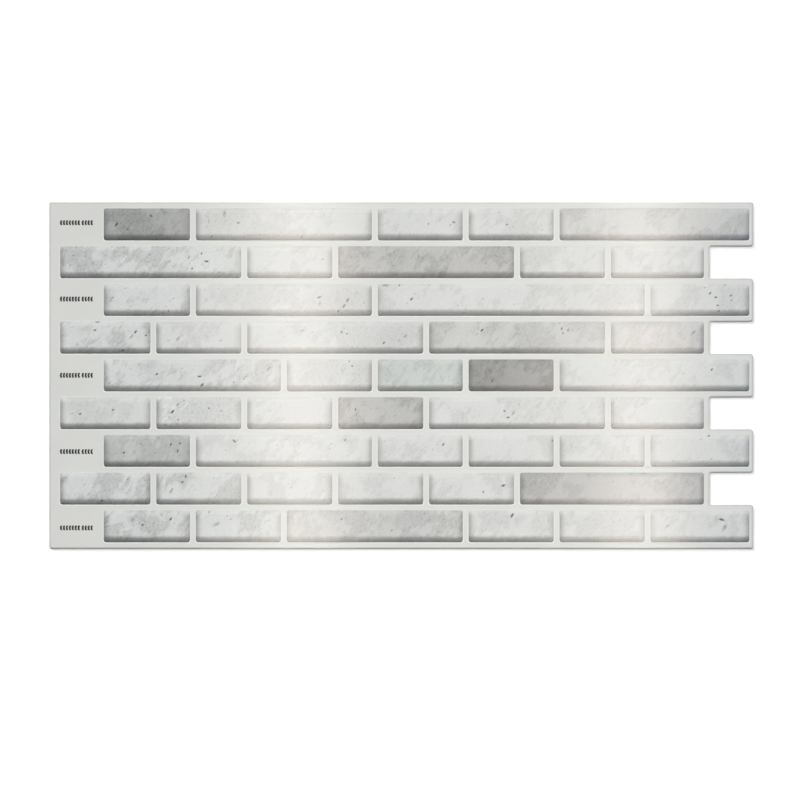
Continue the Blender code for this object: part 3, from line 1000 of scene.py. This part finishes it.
bpy.ops.mesh.primitive_plane_add(size=FLOOR_SIZE, location=(0, 0, -FLOOR_DROP))
floor = bpy.context.object
floor.name = "floor"
floor_white, tree, shader = new_material("floor_white")
tree.nodes.remove(shader)
paint = blend(tree, seen_rays(tree), FLOOR_LIT, FLOOR_SEEN)
solid = add(tree, "ShaderNodeBsdfDiffuse", {"Color": paint}).outputs[0]
clear = add(tree, "ShaderNodeBsdfTransparent").outputs[0]
behind = add(tree, "ShaderNodeNewGeometry").outputs["Backfacing"]
one_sided = add(tree, "ShaderNodeMixShader", {0: behind, 1: solid, 2: clear}).outputs[0]
tree.links.new(one_sided, tree.nodes["Material Output"].inputs["Surface"])
floor.data.materials.append(floor_white)
floor.visible_shadow = False
print("floor:", FLOOR_SIZE, "m wide")

# %% [markdown]
# ## Light
#
# A wide sun beyond the upper edge lights the upper rims and leaves the lower ones in
# shade, and a small lamp over the middle shades the ends off. Two lamps that only the
# floor receives draw the soft shadow, and one below is there for looks at the back.

# %% World
AMBIENT = 0.10  # what the world gives as light, against 1 where it is seen
world = bpy.data.worlds.new("studio")
bpy.context.scene.world = world
world.use_nodes = True
tree = world.node_tree
strength = calc(tree, "MULTIPLY_ADD", seen_rays(tree), 1 - AMBIENT, AMBIENT)
put(tree, tree.nodes["Background"].inputs, {"Color": (1.0, 1.0, 1.0, 1.0), "Strength": strength})


# %% Suns, and the lamp over the middle
def hang(lamp, position, target=(0, 0, 0), shine=False):
    """Hangs a lamp at a position, turned to a target. A shine lamp is only seen in
    reflections, and any other lamp only lights."""
    made = bpy.data.objects.new(lamp.name, lamp)
    bpy.context.scene.collection.objects.link(made)
    made.location = position
    aim = Vector(target) - Vector(position)
    made.rotation_euler = aim.to_track_quat("-Z", "Y").to_euler()
    made.visible_camera = False
    made.visible_diffuse = not shine
    made.visible_glossy = shine
    return made


def sun(name, share, tilt, turn, softness):
    """A sun at a tilt from upright, turned from +Y towards -X, in degrees. It gives flat
    ground this share of the light under which a colour renders as it is written."""
    tilt, turn = math.radians(tilt), math.radians(turn)
    lamp = bpy.data.lights.new(name, "SUN")
    lamp.energy = share * math.pi / abs(math.cos(tilt))
    lamp.angle = math.radians(softness)
    flat = math.sin(tilt)
    return hang(lamp, (-flat * math.sin(turn), flat * math.cos(turn), math.cos(tilt)))


KEY_SHARE, MIDDLE_SHARE = 0.86, 0.11
MIDDLE_HEIGHT, MIDDLE_X, MIDDLE_SIZE = 0.45, -0.06, 0.2
sun("key", KEY_SHARE, tilt=42, turn=-3, softness=16)
middle = bpy.data.lights.new("middle", "AREA")
middle.size = MIDDLE_SIZE
middle.energy = MIDDLE_SHARE * (math.pi * MIDDLE_HEIGHT) ** 2
hang(middle, (MIDDLE_X, 0.0, MIDDLE_HEIGHT), (MIDDLE_X, 0.0, 0.0))

sun("below", 0.75, tilt=180, turn=0, softness=10)
floor_only = bpy.data.collections.new("floor_only")
floor_only.objects.link(floor)
shadow = sun("shadow", 0.75, tilt=72, turn=36, softness=20)
wash = sun("wash", 0.35, tilt=0, turn=0, softness=5)
for lamp in (shadow, wash):
    lamp.light_linking.receiver_collection = floor_only

# %% [markdown]
# ## Bands of shine
#
# Long strips that only the shine sees hang close above the sheet. Two of them give the
# bright bands across it, and weaker ones beside them the bands' soft shoulders and tails.
# A bluish one cools the dark rims at the finger end. The last strip is higher up and
# lights the colours themselves, a little, between the two main bands.

# %% Strips
STRIP_HEIGHT, HIGH_STRIP = 0.03, 0.08
STRIP_END = 0.25
WARM, COOL = (1.0, 0.89, 0.81), (0.05, 0.40, 1.0)
# Lowest and highest x of each strip, its radiance and its tint.
BANDS = {
    "left_shoulder": (-0.175, -0.120, 9.0, WARM),
    "left_band": (-0.120, -0.058, 30.0, WARM),
    "left_tail": (-0.058, -0.022, 8.0, WARM),
    "middle_band": (0.020, 0.120, 3.0, WARM),
    "right_shoulder": (0.120, 0.178, 11.0, WARM),
    "right_band": (0.178, 0.240, 31.0, WARM),
    "right_tail": (0.240, 0.275, 4.0, WARM),
    "cool_end": (0.270, 0.306, 3.8, COOL),
}
BETWEEN_BANDS = (0.020, 0.120, 0.115, WARM)


def strip(name, start, end, radiance, tint, height=STRIP_HEIGHT, shine=True):
    """A flat strip along Y that faces down and glows with this radiance."""
    lamp = bpy.data.lights.new(name, "AREA")
    lamp.shape = "RECTANGLE"
    lamp.size = end - start
    lamp.size_y = 2 * STRIP_END
    lamp.energy = radiance * math.pi * lamp.size * lamp.size_y
    lamp.color = tint
    middle_x = (start + end) / 2
    return hang(lamp, (middle_x, 0.0, height), (middle_x, 0.0, 0.0), shine=shine)


for name, band in BANDS.items():
    strip(name, *band)
strip("between_bands", *BETWEEN_BANDS, height=HIGH_STRIP, shine=False)
print("lamps:", len(bpy.data.lights))

# %% [markdown]
# ## Camera
#
# The photograph looks straight at the sheet with little perspective, so a long lens looks
# down from two metres. Its place is worked out from the width that the view spans.

# %% Camera
VIEW_WIDTH = 0.6934  # what the view spans at the sheet
CAMERA_LENS, CAMERA_SENSOR = 100.0, 36.0
AIM_X, AIM_Y = -0.0010, -0.0214
camera_data = bpy.data.cameras.new("camera")
camera_data.lens = CAMERA_LENS
camera_data.sensor_width = CAMERA_SENSOR
camera = bpy.data.objects.new("camera", camera_data)
bpy.context.scene.collection.objects.link(camera)
camera.location = (AIM_X, AIM_Y, GROUND + VIEW_WIDTH * CAMERA_LENS / CAMERA_SENSOR)
bpy.context.scene.camera = camera
bpy.context.scene.view_settings.view_transform = "Standard"
